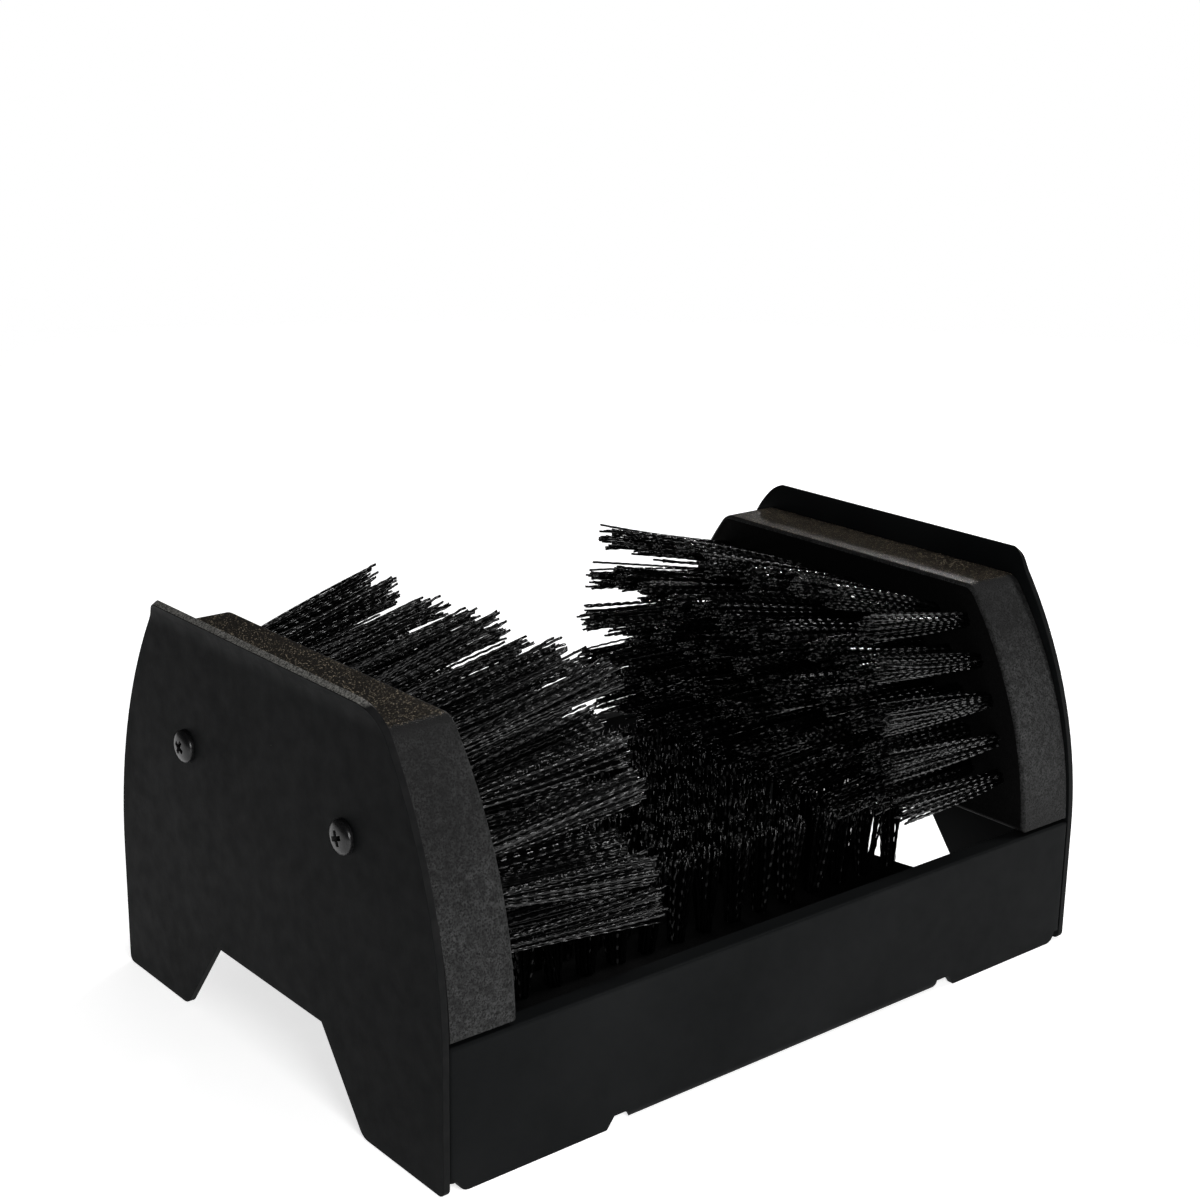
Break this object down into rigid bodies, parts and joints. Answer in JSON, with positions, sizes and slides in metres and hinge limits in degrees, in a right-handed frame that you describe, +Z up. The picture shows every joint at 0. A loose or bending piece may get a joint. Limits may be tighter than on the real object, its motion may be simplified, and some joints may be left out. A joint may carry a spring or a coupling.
{
  "type": "boot scrubber",
  "caption": "Free-standing boot scrubber: folded sheet-metal frame with facing side brushes and a base brush, open front and back.",
  "frame": {"origin": "middle of the footprint, on the surface that the scrubber stands on", "axes": "+X across the width, from the left side plate to the right one; +Y from the front panel to the rear one; +Z up"},
  "size_m": [0.296, 0.2, 0.1475],
  "materials": {
    "powder_coat": "black powder coat, low sheen",
    "painted_board": "fibre board painted matt black",
    "black_screw": "black oxide, semi-gloss",
    "plain_screw": "zinc plated",
    "bristle": "black crimped bristle, glossy"
  },
  "bodies": {
    "root": {"left_side_plate": "powder_coat", "right_side_plate": "powder_coat", "base_channel": "powder_coat", "left_brush_block": "painted_board", "right_brush_block": "painted_board", "base_brush_block": "painted_board", "left_plate_screws": "black_screw", "right_plate_screws": "black_screw", "base_block_screws": "plain_screw", "left_bristle_row_1": "bristle", "left_bristle_row_2": "bristle", "left_bristle_row_3": "bristle", "left_bristle_row_4": "bristle", "left_bristle_row_5": "bristle", "right_bristle_row_1": "bristle", "right_bristle_row_2": "bristle", "right_bristle_row_3": "bristle", "right_bristle_row_4": "bristle", "right_bristle_row_5": "bristle", "base_bristle_row_1": "bristle", "base_bristle_row_2": "bristle", "base_bristle_row_3": "bristle", "base_bristle_row_4": "bristle", "base_bristle_row_5": "bristle", "base_bristle_row_6": "bristle", "base_bristle_row_7": "bristle", "base_bristle_row_8": "bristle", "base_bristle_row_9": "bristle"}
  },
  "joints": []
}
